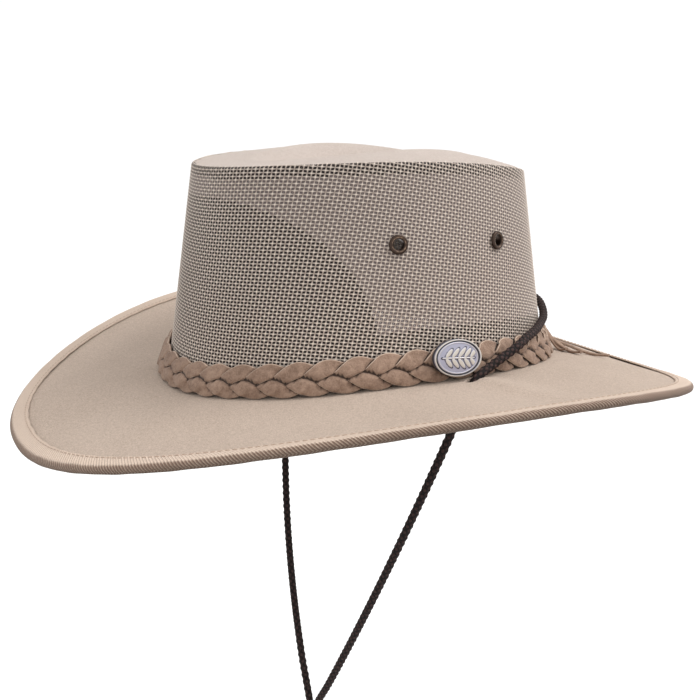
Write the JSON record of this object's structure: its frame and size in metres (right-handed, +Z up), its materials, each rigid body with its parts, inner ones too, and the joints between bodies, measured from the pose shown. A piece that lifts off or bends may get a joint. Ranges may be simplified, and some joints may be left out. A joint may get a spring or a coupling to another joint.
{
  "type": "safari hat",
  "caption": "Wide-brimmed safari hat with an open mesh crown, a dented cloth tip, a braided suede band with an oval concho, and a chin cord that hangs in a loop.",
  "frame": {"origin": "middle of the head opening, level with the foot of the crown", "axes": "-Y is the hat's front, +X is the wearer's left, +Z is up; -Z points out of the head opening"},
  "size_m": [0.32, 0.32, 0.3675],
  "materials": {
    "canvas": "brushed cotton canvas, matt",
    "tape": "ribbed twill tape, matt",
    "mesh": "coated polyester mesh, slight sheen",
    "lining": "black knitted cloth, matt",
    "suede": "suede, matt",
    "silver": "old silver plate, half polished",
    "bronze": "dark antique bronze",
    "cord": "braided polyester, dark brown"
  },
  "bodies": {
    "root": {"brim": "canvas", "brim_binding": "tape", "crown_net": "mesh", "crown_tip": "canvas", "front_panel": "lining", "sweatband": "lining", "hat_band": "suede", "band_tails": "suede", "concho": "silver", "eyelet_left_front": "bronze", "eyelet_left_back": "bronze", "eyelet_right_front": "bronze", "eyelet_right_back": "bronze", "chin_cord_crown": "cord", "chin_cord_left": "cord", "chin_cord_right": "cord", "cord_slide": "cord", "cord_knot": "cord"}
  },
  "joints": []
}
